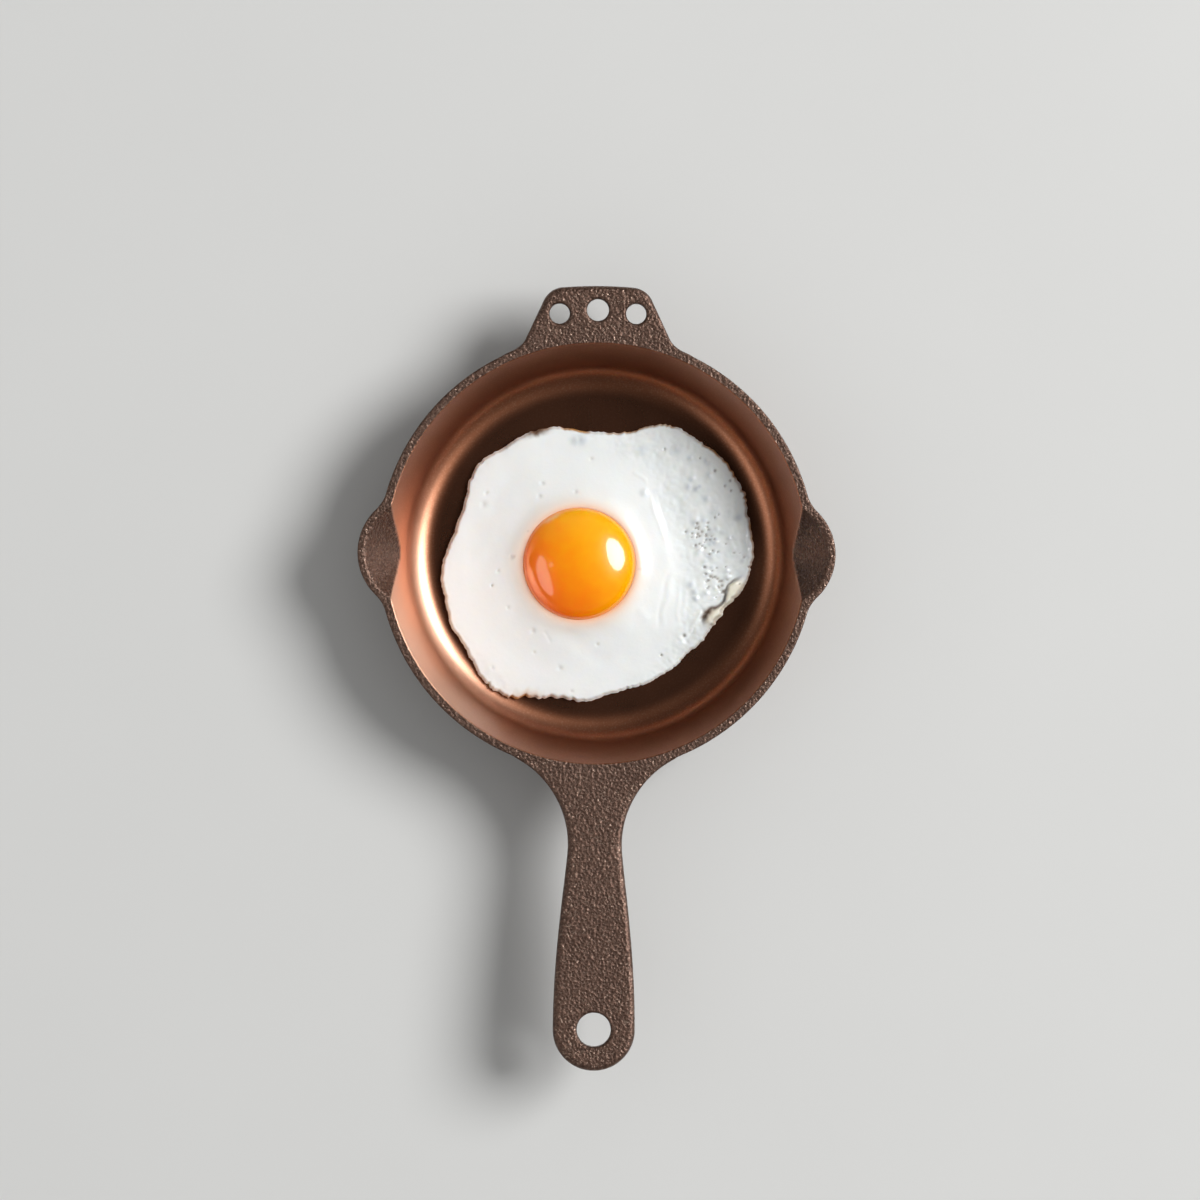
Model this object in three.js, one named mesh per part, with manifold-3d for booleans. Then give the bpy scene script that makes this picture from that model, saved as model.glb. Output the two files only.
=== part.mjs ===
// A sunny-side-up fried egg in the small cast skillet that it was cooked in.
//
// Frame: millimetres, +Z up. The origin is on the bowl's axis, at the flat base that the pan
// stands on. The long handle runs along -Y, the helper handle along +Y, the spouts along +X and -X.

import * as THREE from 'three';
import { mergeVertices } from 'three/addons/utils/BufferGeometryUtils.js';
import Module from 'manifold-3d';

const wasm = await Module();
wasm.setup();

// ---------------------------------------------------------------- driving dimensions

const RIM_RADIUS = 76;
const RIM_HEIGHT = 34;
const RIM_BAND = 3.3;
const RIM_EDGE_ROUND = 0.8;
const FLOOR_THICKNESS = 4;
const FLOOR_RADIUS = 57.2;
const FLOOR_FILLET = 9;
const BASE_CORNER_ROUND = 10;
const BOWL_SEGMENTS = 80;

const CAVITY_RADIUS = RIM_RADIUS - RIM_BAND;
const OVERCUT = 12;

const SPOUT = { centre: 62.2, pocket: 18, wall: 3, shrink: 0.757, depth: 22, segments: 40 };

const HELPER = {
  tip: 92.6,
  crown: 0.5,
  topHalf: 12.2,
  shoulderHalf: 18.1,
  shoulderY: 88.9,
  sideHalf: 24.6,
  sideY: 75,
  rootHalf: 36.5,
  rootY: 66.5,
  thickness: 7,
};
const HELPER_HOLES = [
  { x: -13.25, y: 83, radius: 3.5 },
  { x: 0, y: 84.3, radius: 3.8 },
  { x: 13.25, y: 83, radius: 3.5 },
];

const HANDLE = {
  waistHalf: 9.35,
  waistY: -101,
  endHalf: 14.2,
  endY: -164.8,
  holeRadius: 5.9,
  thickness: 8,
  riseFromY: -80,
  slope: 0.02,
  flareEndY: -84,
  plateStartY: -73,
};
const EDGE_ROUND = 1.8;
const EDGE_STEPS = 2;
const HOLE_ROUND = 0.9;
const HOLE_SEGMENTS = 24;
const DRILL_PAST = 1;

const GAP = 0.3;
const EGG = { x: -6, y: -3.5, spokes: 80 };
const YOLK = { radius: 20, rimZ: 8.2, dome: 9.4, belly: 2.9, segments: 40 };
const WHITE = { thick: 5.6, thin: 2.3, collarEnd: 0.5, thinFrom: 0.95 };

// Where the egg's skins get a ring of points: shares of the outline's radius for the white's
// underside and top, shares of the pocket's radius, and degrees up the yolk's profile.
const UNDER_SHARES = [0.35, 0.7, 0.9, 0.975];
const TOP_SHARES = [0.975, 0.94, 0.9, 0.84, 0.76, 0.67, 0.58, 0.5];
const POCKET_SHARES = [1, 0.94, 0.8, 0.5];
const YOLK_RISES = [-90, -60, -30, -10, 0, 12, 24, 38, 52, 66, 79, 90];

// The white's outline is a ring about the yolk with lobes: direction in degrees from +X towards
// +Y, spread in degrees and reach in millimetres.
const OUTLINE_RING = 44.5;
const LOBES = [
  { at: 32, spread: 30, reach: 18 },
  { at: 58, spread: 9, reach: 4.5 },
  { at: 109, spread: 20, reach: 4.5 },
  { at: 137, spread: 13, reach: 4 },
  { at: 189, spread: 18, reach: 4 },
  { at: 208, spread: 9, reach: 2.5 },
  { at: 236, spread: 21, reach: 8.5 },
  { at: 273, spread: 10, reach: 3 },
  { at: 308, spread: 22, reach: 4 },
  { at: 330, spread: 11, reach: 3 },
  { at: 356, spread: 19, reach: 10.5 },
];
const FOLD = { at: 345, spread: 10, u: 0.9, width: 0.09, height: 2 };

// ---------------------------------------------------------------- solids

// A closed geometry as a manifold solid, with its shared vertices merged.
function solid(geometry) {
  const bare = geometry.index ? geometry.toNonIndexed() : geometry.clone();
  bare.deleteAttribute('normal');
  bare.deleteAttribute('uv');
  const merged = mergeVertices(bare, 1e-4);
  const index = merged.index.array;
  const kept = [];
  for (let i = 0; i < index.length; i += 3) {
    const [a, b, c] = [index[i], index[i + 1], index[i + 2]];
    if (a !== b && b !== c && c !== a) kept.push(a, b, c);
  }
  const vertProperties = new Float32Array(merged.attributes.position.array);
  const triVerts = new Uint32Array(kept);
  return new wasm.Manifold(new wasm.Mesh({ numProp: 3, vertProperties, triVerts }));
}

function geometryOf(body) {
  const mesh = body.getMesh();
  const geometry = new THREE.BufferGeometry();
  geometry.setAttribute('position', new THREE.BufferAttribute(new Float32Array(mesh.vertProperties), 3));
  geometry.setIndex(new THREE.BufferAttribute(new Uint32Array(mesh.triVerts), 1));
  geometry.computeVertexNormals();
  return geometry;
}

// A profile of [radius, height] turned about the Z axis.
function turned(profile, segments) {
  const points = profile.map(([r, z]) => new THREE.Vector2(r, z));
  return new THREE.LatheGeometry(points, segments).rotateX(Math.PI / 2);
}

// Points [x, y] along an arc, both ends included.
function arc(cx, cy, radius, from, to, steps) {
  const points = [];
  for (let i = 0; i <= steps; i += 1) {
    const a = from + ((to - from) * i) / steps;
    points.push([cx + radius * Math.cos(a), cy + radius * Math.sin(a)]);
  }
  return points;
}

// An outline raised to a plate whose top lies at topZ, with its long edges rounded.
function plate(shape, thickness, topZ) {
  const geometry = new THREE.ExtrudeGeometry(shape, {
    depth: thickness - 2 * EDGE_ROUND,
    bevelEnabled: true,
    bevelThickness: EDGE_ROUND,
    bevelSize: EDGE_ROUND,
    bevelOffset: -EDGE_ROUND,
    bevelSegments: EDGE_STEPS,
    curveSegments: 10,
  });
  return geometry.translate(0, 0, topZ - thickness + EDGE_ROUND);
}

// ---------------------------------------------------------------- bowl

// The wall leans outwards from the floor fillet to the machined edge of the rim.
const WALL_LEAN = wallLean();

function wallLean() {
  const across = CAVITY_RADIUS - FLOOR_RADIUS;
  const up = RIM_HEIGHT - FLOOR_THICKNESS - FLOOR_FILLET;
  const reach = Math.hypot(across, up);
  return Math.atan2(across, up) - Math.asin(FLOOR_FILLET / reach);
}

function bowlOutside() {
  const lean = Math.tan(WALL_LEAN);
  const corner = Math.PI / 4 - WALL_LEAN / 2;
  const flatEnd = RIM_RADIUS - RIM_HEIGHT * lean - BASE_CORNER_ROUND * Math.tan(corner);
  const wallAt = (z) => RIM_RADIUS - (RIM_HEIGHT - z) * lean;
  const roundZ = RIM_HEIGHT - RIM_EDGE_ROUND;
  return turned(
    [
      [0, 0],
      ...arc(flatEnd, BASE_CORNER_ROUND, BASE_CORNER_ROUND, -Math.PI / 2, -WALL_LEAN, 5),
      [wallAt(roundZ), roundZ],
      ...arc(RIM_RADIUS - RIM_EDGE_ROUND, roundZ, RIM_EDGE_ROUND, Math.PI / 4, Math.PI / 2, 1),
      [0, RIM_HEIGHT],
    ],
    BOWL_SEGMENTS
  );
}

function bowlCavity() {
  const filletZ = FLOOR_THICKNESS + FLOOR_FILLET;
  const mouth = CAVITY_RADIUS + OVERCUT * Math.tan(WALL_LEAN);
  return turned(
    [
      [0, FLOOR_THICKNESS],
      ...arc(FLOOR_RADIUS, filletZ, FLOOR_FILLET, -Math.PI / 2, -WALL_LEAN, 5),
      [mouth, RIM_HEIGHT + OVERCUT],
      [0, RIM_HEIGHT + OVERCUT],
    ],
    BOWL_SEGMENTS
  );
}

// ---------------------------------------------------------------- spouts

function spoutBulge(side) {
  const radius = SPOUT.pocket + SPOUT.wall;
  const lowRadius = radius - SPOUT.depth * SPOUT.shrink;
  return turned(
    [
      [0, RIM_HEIGHT - SPOUT.depth],
      [lowRadius, RIM_HEIGHT - SPOUT.depth],
      [radius - RIM_EDGE_ROUND * SPOUT.shrink, RIM_HEIGHT - RIM_EDGE_ROUND],
      [radius - RIM_EDGE_ROUND, RIM_HEIGHT],
      [0, RIM_HEIGHT],
    ],
    SPOUT.segments
  ).translate(side * SPOUT.centre, 0, 0);
}

// The pouring scoop is a cone standing on its point, cut down through the wall.
function spoutPocket(side) {
  return turned(
    [
      [0, RIM_HEIGHT - SPOUT.depth],
      [SPOUT.pocket - SPOUT.depth * SPOUT.shrink, RIM_HEIGHT - SPOUT.depth],
      [SPOUT.pocket + OVERCUT * SPOUT.shrink, RIM_HEIGHT + OVERCUT],
      [0, RIM_HEIGHT + OVERCUT],
    ],
    SPOUT.segments
  ).translate(side * SPOUT.centre, 0, 0);
}

// ---------------------------------------------------------------- helper handle

function helperHandle() {
  const h = HELPER;
  const cornerX = h.topHalf + (h.tip - h.shoulderY);
  const shape = new THREE.Shape();
  shape.moveTo(h.rootHalf, h.rootY - 8);
  shape.lineTo(h.rootHalf, h.rootY);
  shape.quadraticCurveTo(h.sideHalf + 3, h.rootY + 4.5, h.sideHalf, h.sideY);
  shape.lineTo(h.shoulderHalf, h.shoulderY);
  shape.quadraticCurveTo(cornerX, h.tip - h.crown, h.topHalf, h.tip - h.crown);
  shape.quadraticCurveTo(0, h.tip + h.crown, -h.topHalf, h.tip - h.crown);
  shape.quadraticCurveTo(-cornerX, h.tip - h.crown, -h.shoulderHalf, h.shoulderY);
  shape.lineTo(-h.sideHalf, h.sideY);
  shape.quadraticCurveTo(-h.sideHalf - 3, h.rootY + 4.5, -h.rootHalf, h.rootY);
  shape.lineTo(-h.rootHalf, h.rootY - 8);
  shape.closePath();
  return plate(shape, h.thickness, RIM_HEIGHT);
}

// A drill whose two flared ends break the edges of the hole at the plate's faces.
function drill(x, y, radius, topZ, thickness) {
  const flare = radius + HOLE_ROUND + DRILL_PAST;
  const bottomZ = topZ - thickness;
  return turned(
    [
      [0, bottomZ - DRILL_PAST],
      [flare, bottomZ - DRILL_PAST],
      [radius, bottomZ + HOLE_ROUND],
      [radius, topZ - HOLE_ROUND],
      [flare, topZ + DRILL_PAST],
      [0, topZ + DRILL_PAST],
    ],
    HOLE_SEGMENTS
  ).translate(x, y, 0);
}

function helperDrills() {
  return HELPER_HOLES.map((hole) => drill(hole.x, hole.y, hole.radius, RIM_HEIGHT, HELPER.thickness));
}

// ---------------------------------------------------------------- long handle

// The concave arc that runs tangent from the rim's circle to the handle's waist.
const FLARE_RADIUS =
  (HANDLE.waistHalf ** 2 + HANDLE.waistY ** 2 - RIM_RADIUS ** 2) / (2 * (RIM_RADIUS - HANDLE.waistHalf));

function handleHalf(y) {
  if (y > HANDLE.waistY) {
    return HANDLE.waistHalf + FLARE_RADIUS - Math.sqrt(FLARE_RADIUS ** 2 - (y - HANDLE.waistY) ** 2);
  }
  const t = Math.min(1, (HANDLE.waistY - y) / (HANDLE.waistY - HANDLE.endY));
  const eased = t / (t + 0.06 * (1 - t));
  return HANDLE.waistHalf + (HANDLE.endHalf - HANDLE.waistHalf) * Math.sin((Math.PI / 2) * t * eased);
}

function sideStations(fromY, toY, count) {
  const stations = [];
  for (let i = 0; i <= count; i += 1) {
    const y = fromY + ((toY - fromY) * i) / count;
    stations.push([handleHalf(y), y]);
  }
  return stations;
}

function handleFlare() {
  const tangentY = (HANDLE.waistY * RIM_RADIUS) / (RIM_RADIUS + FLARE_RADIUS);
  const side = sideStations(tangentY, HANDLE.flareEndY, 8);
  const inner = [side[0][0], tangentY + 10];
  const right = [inner, ...side];
  const left = right.map(([x, y]) => [-x, y]).reverse();
  const shape = new THREE.Shape([...right, ...left].map(([x, y]) => new THREE.Vector2(x, y)));
  return plate(shape, HANDLE.thickness, RIM_HEIGHT);
}

function handlePlate() {
  const right = sideStations(HANDLE.plateStartY, HANDLE.endY, 22);
  const tip = arc(0, HANDLE.endY, HANDLE.endHalf, 0, -Math.PI, 20).slice(1, -1);
  const left = right.map(([x, y]) => [-x, y]).reverse();
  const outline = [...right, ...tip, ...left];
  const shape = new THREE.Shape(outline.map(([x, y]) => new THREE.Vector2(x, y)));
  return risen(plate(shape, HANDLE.thickness, RIM_HEIGHT));
}

// The handle climbs at a steady slope away from the bowl.
function risen(geometry) {
  const position = geometry.attributes.position;
  for (let i = 0; i < position.count; i += 1) {
    const rise = HANDLE.slope * (HANDLE.riseFromY - position.getY(i));
    position.setZ(i, position.getZ(i) + rise);
  }
  return geometry;
}

function hangHoleDrill() {
  return risen(drill(0, HANDLE.endY, HANDLE.holeRadius, RIM_HEIGHT, HANDLE.thickness));
}

function skilletGeometry() {
  let casting = solid(bowlOutside());
  const added = [spoutBulge(1), spoutBulge(-1), helperHandle(), handleFlare(), handlePlate()];
  for (const piece of added) casting = casting.add(solid(piece));
  const cuts = [bowlCavity(), spoutPocket(1), spoutPocket(-1), ...helperDrills(), hangHoleDrill()];
  for (const cut of cuts) casting = casting.subtract(solid(cut));
  return geometryOf(casting);
}

// ---------------------------------------------------------------- egg

function smoothstep(low, high, value) {
  const t = Math.min(1, Math.max(0, (value - low) / (high - low)));
  return t * t * (3 - 2 * t);
}

function bump(degrees, at, spread) {
  const away = ((degrees - at + 540) % 360) - 180;
  return Math.exp(-((away / spread) ** 2));
}

function outline(degrees) {
  let radius = OUTLINE_RING;
  for (const lobe of LOBES) radius += lobe.reach * bump(degrees, lobe.at, lobe.spread);
  return radius;
}

// The pan's inside surface at a distance from the bowl's axis.
function panSurface(distance) {
  const past = Math.max(0, distance - FLOOR_RADIUS);
  return FLOOR_THICKNESS + FLOOR_FILLET - Math.sqrt(FLOOR_FILLET ** 2 - past ** 2);
}

function whiteThickness(u, degrees) {
  const { thick, thin, collarEnd, thinFrom } = WHITE;
  const mound = thin + (thick - thin) * (1 - smoothstep(collarEnd, thinFrom, u));
  const ripple = 0.35 * Math.sin((Math.PI / 180) * (3 * degrees + 40)) * smoothstep(0.4, 0.8, u);
  const acrossFold = Math.exp(-(((u - FOLD.u) / FOLD.width) ** 2));
  return mound + ripple + FOLD.height * bump(degrees, FOLD.at, FOLD.spread) * acrossFold;
}

// One spoke of the white: from under the yolk out along the pan, round the thin edge, back over
// the top to the yolk's lip, and down into the pocket that the yolk sits in.
function whiteSpoke(degrees) {
  const angle = (degrees * Math.PI) / 180;
  const radius = outline(degrees);
  const pocket = YOLK.radius + GAP;
  const underside = (r) =>
    GAP + panSurface(Math.hypot(EGG.x + r * Math.cos(angle), EGG.y + r * Math.sin(angle)));
  const profile = [[0, underside(0)]];
  for (const u of UNDER_SHARES) profile.push([u * radius, underside(u * radius)]);
  const edge = whiteThickness(1, degrees);
  profile.push([radius - 0.15, underside(radius) + 0.25 * edge]);
  profile.push([radius, underside(radius) + 0.55 * edge]);
  for (const u of TOP_SHARES) {
    const round = 1 - 0.12 * smoothstep(0.93, 0.98, u);
    profile.push([u * radius, underside(u * radius) + round * whiteThickness(u, degrees)]);
  }
  profile.push([pocket, FLOOR_THICKNESS + GAP + WHITE.thick]);
  for (const s of POCKET_SHARES) {
    const r = pocket * s;
    profile.push([r, YOLK.rimZ - (YOLK.belly + GAP) * Math.sqrt(1 - s * s)]);
  }
  profile.push([0, YOLK.rimZ - YOLK.belly - GAP]);
  return profile.map(([r, z]) => [EGG.x + r * Math.cos(angle), EGG.y + r * Math.sin(angle), z]);
}

// Spokes of equal length joined into one closed skin with a pole below and a pole above.
function eggWhiteGeometry() {
  const rows = [];
  for (let i = 0; i < EGG.spokes; i += 1) rows.push(whiteSpoke((360 * i) / EGG.spokes));
  const last = rows[0].length - 1;
  const positions = [...rows[0][0], ...rows[0][last]];
  for (const row of rows) for (const point of row.slice(1, last)) positions.push(...point);
  const ringCount = last - 1;
  const vertex = (spoke, ring) => 2 + (spoke % EGG.spokes) * ringCount + ring;
  const index = [];
  for (let i = 0; i < EGG.spokes; i += 1) {
    index.push(0, vertex(i + 1, 0), vertex(i, 0));
    index.push(1, vertex(i, ringCount - 1), vertex(i + 1, ringCount - 1));
    for (let k = 0; k + 1 < ringCount; k += 1) {
      const [a, b, c, d] = [vertex(i, k), vertex(i + 1, k), vertex(i + 1, k + 1), vertex(i, k + 1)];
      index.push(a, b, c, a, c, d);
    }
  }
  const geometry = new THREE.BufferGeometry();
  geometry.setAttribute('position', new THREE.Float32BufferAttribute(positions, 3));
  geometry.setIndex(index);
  geometry.computeVertexNormals();
  return geometry;
}

function eggYolkGeometry() {
  const profile = [];
  for (const degrees of YOLK_RISES) {
    const a = (degrees * Math.PI) / 180;
    const semi = a < 0 ? YOLK.belly : YOLK.dome;
    profile.push([Math.abs(degrees) === 90 ? 0 : YOLK.radius * Math.cos(a), YOLK.rimZ + semi * Math.sin(a)]);
  }
  return geometryOf(solid(turned(profile, YOLK.segments).translate(EGG.x, EGG.y, 0)));
}

// ---------------------------------------------------------------- materials and parts

const castIron = new THREE.MeshStandardMaterial({ color: 0x5d4a43, roughness: 0.55, metalness: 0.6 });
const setWhite = new THREE.MeshStandardMaterial({ color: 0xf2f0ea, roughness: 0.35, metalness: 0 });
const softYolk = new THREE.MeshStandardMaterial({ color: 0xf28c05, roughness: 0.15, metalness: 0 });

function part(name, geometry, material) {
  const mesh = new THREE.Mesh(geometry, material);
  mesh.name = name;
  return mesh;
}

const friedEggInSkillet = new THREE.Group();
friedEggInSkillet.add(part('skillet', skilletGeometry(), castIron));
friedEggInSkillet.add(part('egg_white', eggWhiteGeometry(), setWhite));
friedEggInSkillet.add(part('egg_yolk', eggYolkGeometry(), softYolk));

export default friedEggInSkillet;
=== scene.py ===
# %% [markdown]
# # A fried egg in a small cast skillet
#
# A sunny-side-up egg lies in a little iron pan with two pouring spouts, a pierced helper handle
# and a long handle with a hang hole. The fixed model already says where each part is and how big
# it is, so this lesson only makes fine surfaces and finishes around it. Shapes are worked out in
# millimetres, because a cook thinks of a pan that way, and turned into metres as a mesh is made.

# %% Load the fixed model
import math

import bpy
import numpy as np
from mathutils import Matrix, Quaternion, Vector


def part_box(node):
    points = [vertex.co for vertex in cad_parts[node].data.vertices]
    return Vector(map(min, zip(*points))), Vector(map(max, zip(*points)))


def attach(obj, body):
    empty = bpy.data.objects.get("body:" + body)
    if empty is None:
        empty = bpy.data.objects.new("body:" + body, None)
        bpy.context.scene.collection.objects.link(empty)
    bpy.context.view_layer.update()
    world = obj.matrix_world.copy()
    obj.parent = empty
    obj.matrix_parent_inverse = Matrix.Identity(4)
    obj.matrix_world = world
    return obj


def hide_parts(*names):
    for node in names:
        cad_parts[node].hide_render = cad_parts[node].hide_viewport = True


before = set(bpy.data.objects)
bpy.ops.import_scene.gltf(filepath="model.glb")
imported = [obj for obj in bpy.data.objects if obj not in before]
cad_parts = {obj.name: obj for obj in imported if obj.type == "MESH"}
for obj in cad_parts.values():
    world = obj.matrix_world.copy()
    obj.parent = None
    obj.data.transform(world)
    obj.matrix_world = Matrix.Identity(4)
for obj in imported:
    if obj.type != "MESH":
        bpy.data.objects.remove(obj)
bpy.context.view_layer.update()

MM = 0.001

# %% [markdown]
# ## Sizes that come from the fixed model
#
# A node's box gives its lowest and highest corners. The reach of the handles and the yolk's
# centre, size and top are read from it, so the fine pieces stay where the model has them. What a
# box can't say, such as the rim's height or the width of the rim's band, is a named size here.

# %% Read the driving sizes
pan_low, pan_high = (np.array(corner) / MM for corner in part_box("skillet"))
yolk_low, yolk_high = (np.array(corner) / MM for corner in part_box("egg_yolk"))

RIM_RADIUS = 76.0
RIM_HEIGHT = 34.0
RIM_BAND = 3.3
FLOOR_THICKNESS = 4.0
FLOOR_RADIUS = 57.2
FLOOR_FILLET = 9.0
BASE_ROUND = 10.0
HANDLE_TIP = float(-pan_low[1])
HELPER_TIP = float(pan_high[1])
YOLK_X = float(yolk_low[0] + yolk_high[0]) / 2
YOLK_Y = float(yolk_low[1] + yolk_high[1]) / 2
YOLK_RADIUS = float(yolk_high[0] - yolk_low[0]) / 2
YOLK_TOP = float(yolk_high[2])
print(f"yolk centre {YOLK_X:.1f}, {YOLK_Y:.1f}; radius {YOLK_RADIUS:.1f}; top {YOLK_TOP:.1f} mm")

# %% [markdown]
# ## Small tools for shapes
#
# A few helpers do most of the work on curves. `smoothstep` eases a number from 0 to 1, and `Drift`
# is a soft random field that gives cooked and cast surfaces their unevenness. Its random numbers
# come from a seed, so the field is the same on each run. Another picks out one direction on a circle.

# %% Easing and soft random fields
def smoothstep(low, high, value):
    t = np.clip((value - low) / (high - low), 0.0, 1.0)
    return t * t * (3.0 - 2.0 * t)


def bump_at(degrees, at, spread):
    """1 in one direction, fading to 0 about `spread` degrees away from it."""
    away = (degrees - at + 180.0) % 360.0 - 180.0
    return np.exp(-((away / spread) ** 2))


class Drift:
    """A smooth random field between -1 and 1, with bumps about `size` millimetres across."""

    CELLS = 32

    def __init__(self, seed, size):
        self.size = size
        self.values = np.random.default_rng(seed).uniform(-1.0, 1.0, (self.CELLS,) * 3)

    def __call__(self, x, y, z=0.0):
        place = [np.asarray(axis, dtype=float) / self.size for axis in np.broadcast_arrays(x, y, z)]
        low = [np.floor(axis).astype(int) for axis in place]
        part = [smoothstep(0.0, 1.0, axis - floor) for axis, floor in zip(place, low)]
        total = 0.0
        for corner in np.ndindex(2, 2, 2):
            index = tuple((floor + step) % self.CELLS for floor, step in zip(low, corner))
            weight = 1.0
            for share, step in zip(part, corner):
                weight = weight * (share if step else 1.0 - share)
            total = total + weight * self.values[index]
        return total


# %% [markdown]
# ## Small tools for finishes
#
# A finish is a chain of shader nodes. Written as arithmetic it reads like the thought behind it,
# so one small class wraps a socket and turns `+`, `-`, `*` and `/` into Math nodes. Every other
# node comes from one method, which takes the node's type, its settings and its sockets' values.

# %% Shader arithmetic
class Wire:
    """A value on its way through a finish; arithmetic on it adds Math nodes."""

    def __init__(self, finish, socket):
        self.finish = finish
        self.socket = socket

    def math(self, operation, first, second=0.0):
        return self.finish.node("ShaderNodeMath", {"operation": operation}, {0: first, 1: second})

    def __add__(self, other):
        return self.math("ADD", self, other)

    def __radd__(self, other):
        return self.math("ADD", other, self)

    def __sub__(self, other):
        return self.math("SUBTRACT", self, other)

    def __rsub__(self, other):
        return self.math("SUBTRACT", other, self)

    def __mul__(self, other):
        return self.math("MULTIPLY", self, other)

    def __rmul__(self, other):
        return self.math("MULTIPLY", other, self)

    def __truediv__(self, other):
        return self.math("DIVIDE", self, other)

    def between(self, low, high):
        """0 below low, 1 above high, and an eased step between them."""
        settings = {"interpolation_type": "SMOOTHSTEP"}
        sockets = {"Value": self, "From Min": low, "From Max": high}
        return self.finish.node("ShaderNodeMapRange", settings, sockets)


class Finish:
    """A material under construction, with its surface shader ready."""

    def __init__(self, name, **constants):
        self.material = bpy.data.materials.new(name)
        self.material.use_nodes = True
        self.tree = self.material.node_tree
        self.surface = self.tree.nodes["Principled BSDF"]
        self.finished(**constants)

    def set(self, node, sockets):
        for key, value in sockets.items():
            if isinstance(value, Wire):
                self.tree.links.new(value.socket, node.inputs[key])
            else:
                node.inputs[key].default_value = value

    def node(self, kind, settings=None, sockets=None, output=0):
        made = self.tree.nodes.new(kind)
        for key, value in (settings or {}).items():
            setattr(made, key, value)
        self.set(made, sockets or {})
        return Wire(self, made.outputs[output])

    def mix(self, share, first, second):
        sockets = {0: share, 6: first, 7: second}
        return self.node("ShaderNodeMix", {"data_type": "RGBA"}, sockets, output=2)

    def painted(self, name):
        """A number that the mesh carries on each of its points."""
        return self.node("ShaderNodeAttribute", {"attribute_name": name}, output="Fac")

    def place(self):
        """Where a point is, in metres, in the frame of the model."""
        return self.node("ShaderNodeTexCoord", output="Object")

    def noise(self, per_metre, detail=3.0, roughness=0.5):
        sockets = {"Vector": self.place(), "Scale": per_metre}
        sockets.update({"Detail": detail, "Roughness": roughness})
        return self.node("ShaderNodeTexNoise", {}, sockets)

    def cells(self, per_metre):
        sockets = {"Vector": self.place(), "Scale": per_metre, "Randomness": 1.0}
        return self.node("ShaderNodeTexVoronoi", {}, sockets, output="Distance")

    def bump(self, height, depth):
        sockets = {"Height": height, "Strength": 1.0, "Distance": depth}
        return self.node("ShaderNodeBump", {}, sockets)

    def vector_math(self, operation, first, second=None, output=0):
        sockets = {0: first} if second is None else {0: first, 1: second}
        return self.node("ShaderNodeVectorMath", {"operation": operation}, sockets, output)

    def from_axis(self, spot):
        """How far a spot is from the upright line through the origin."""
        flat = self.vector_math("MULTIPLY", spot, (1.0, 1.0, 0.0))
        return self.vector_math("LENGTH", flat, output="Value")

    def finished(self, **sockets):
        self.set(self.surface, {key.replace("_", " "): value for key, value in sockets.items()})
        return getattr(self, "material", None)


class Sky(Finish):
    """The same tools for the light that comes from all round."""

    def __init__(self, name):
        world = bpy.data.worlds.new(name)
        world.use_nodes = True
        bpy.context.scene.world = world
        self.tree = world.node_tree
        self.surface = self.tree.nodes["Background"]


def colour(red, green, blue):
    """A shade picked on a 0 to 255 screen scale, as the linear light that shaders use."""
    shares = [value / 255.0 for value in (red, green, blue)]
    linear = [s / 12.92 if s <= 0.04045 else ((s + 0.055) / 1.055) ** 2.4 for s in shares]
    return (*linear, 1.0)


# %% Make a mesh piece
def make_piece(name, points, faces, node, finish, paints=None, normals=None):
    """Points in millimetres become a smooth mesh in metres that stands for one CAD node."""
    mesh = bpy.data.meshes.new(name)
    mesh.from_pydata((np.asarray(points) * MM).tolist(), [], faces)
    mesh.validate()
    mesh.shade_smooth()
    for paint, values in (paints or {}).items():
        layer = mesh.attributes.new(paint, "FLOAT", "POINT")
        layer.data.foreach_set("value", np.asarray(values, dtype=np.float32))
    if normals is not None:
        mesh.normals_split_custom_set_from_vertices(normals.tolist())
    piece = bpy.data.objects.new(name, mesh)
    bpy.context.scene.collection.objects.link(piece)
    mesh.materials.append(finish)
    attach(piece, "root")
    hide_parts(node)
    triangles = sum(len(face) - 2 for face in faces)
    print(f"{name}: {len(points)} points, {triangles} triangles")


# %% [markdown]
# ## The skillet: one casting
#
# A casting has no seams. The bowl, spouts and handles run into each other through small fillets,
# and only the inside is cut smooth afterwards. Modelling each fillet by hand is slow, and joining
# meshes leaves hard creases. So the pan is described as a distance: a number that is negative
# inside the iron and positive outside. Two solids are joined by taking the smaller number, cut by
# taking the larger, and a rounded version of each gives fillets and rounded edges for free.

# %% Rounded cuts and joins
def cut_round(a, b, radius, lean=0.0):
    """Inside both a and b, with the edge rounded. lean is the cosine between their normals."""
    u = a + radius
    v = b + radius
    squared = np.maximum(u * u + v * v - 2.0 * lean * u * v, 0.0) / (1.0 - lean * lean)
    corner = np.sqrt(squared) - radius
    at_corner = (u > lean * v) & (v > lean * u)
    return np.where(at_corner, corner, np.maximum(a, b))


def join_round(a, b, radius, lean=0.0):
    """Inside a or b, with a fillet where they meet."""
    return -cut_round(-a, -b, radius, lean)


# %% [markdown]
# ### The bowl
#
# The wall leans out about 16 degrees. Its lean is the one that makes a straight machined wall
# touch both the rim's inner edge and the fillet at the floor. The outside runs parallel to it.

# %% Bowl, outside and inside
CAVITY_RADIUS = RIM_RADIUS - RIM_BAND
_across = CAVITY_RADIUS - FLOOR_RADIUS
_up = RIM_HEIGHT - FLOOR_THICKNESS - FLOOR_FILLET
WALL_LEAN = math.atan2(_across, _up) - math.asin(FLOOR_FILLET / math.hypot(_across, _up))


def wall(rho, z, rim_radius):
    """Distance to a wall that leans out to rim_radius at the rim."""
    return (rho - rim_radius + (RIM_HEIGHT - z) * math.tan(WALL_LEAN)) * math.cos(WALL_LEAN)


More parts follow.
